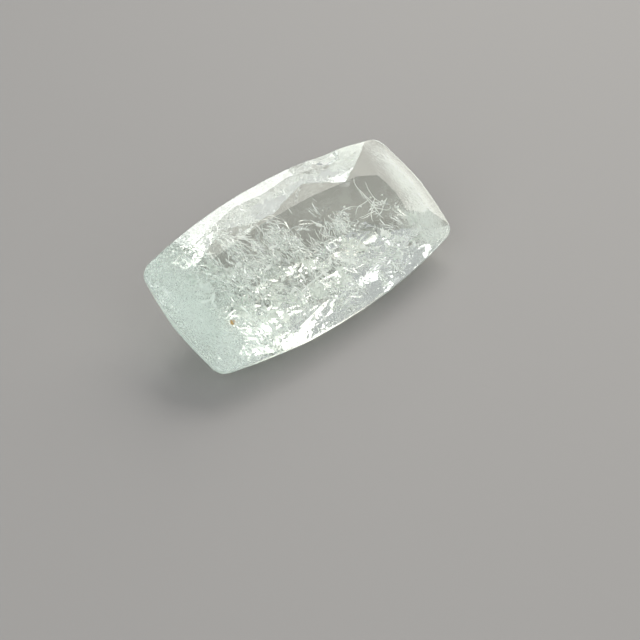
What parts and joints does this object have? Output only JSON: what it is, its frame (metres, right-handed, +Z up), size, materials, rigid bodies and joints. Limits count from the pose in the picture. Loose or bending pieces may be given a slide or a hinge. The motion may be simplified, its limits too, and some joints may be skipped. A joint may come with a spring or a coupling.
{
  "type": "faceted green beryl gemstone",
  "caption": "Loose pale green beryl gemstone, an elongated cushion cut with bowed sides and a wide flat table, clear with fine needles inside, lying on a lower facet.",
  "frame": {"origin": "on the surface that the stone lies on, under the middle of its box", "axes": "+X along the stone's length, +Z up; the stone lies on a lower facet, so its table faces up and leans towards -Y"},
  "size_m": [0.0188, 0.0088, 0.0054],
  "materials": {
    "beryl": "polished"
  },
  "bodies": {
    "root": {"cut_beryl": "beryl"}
  },
  "joints": []
}
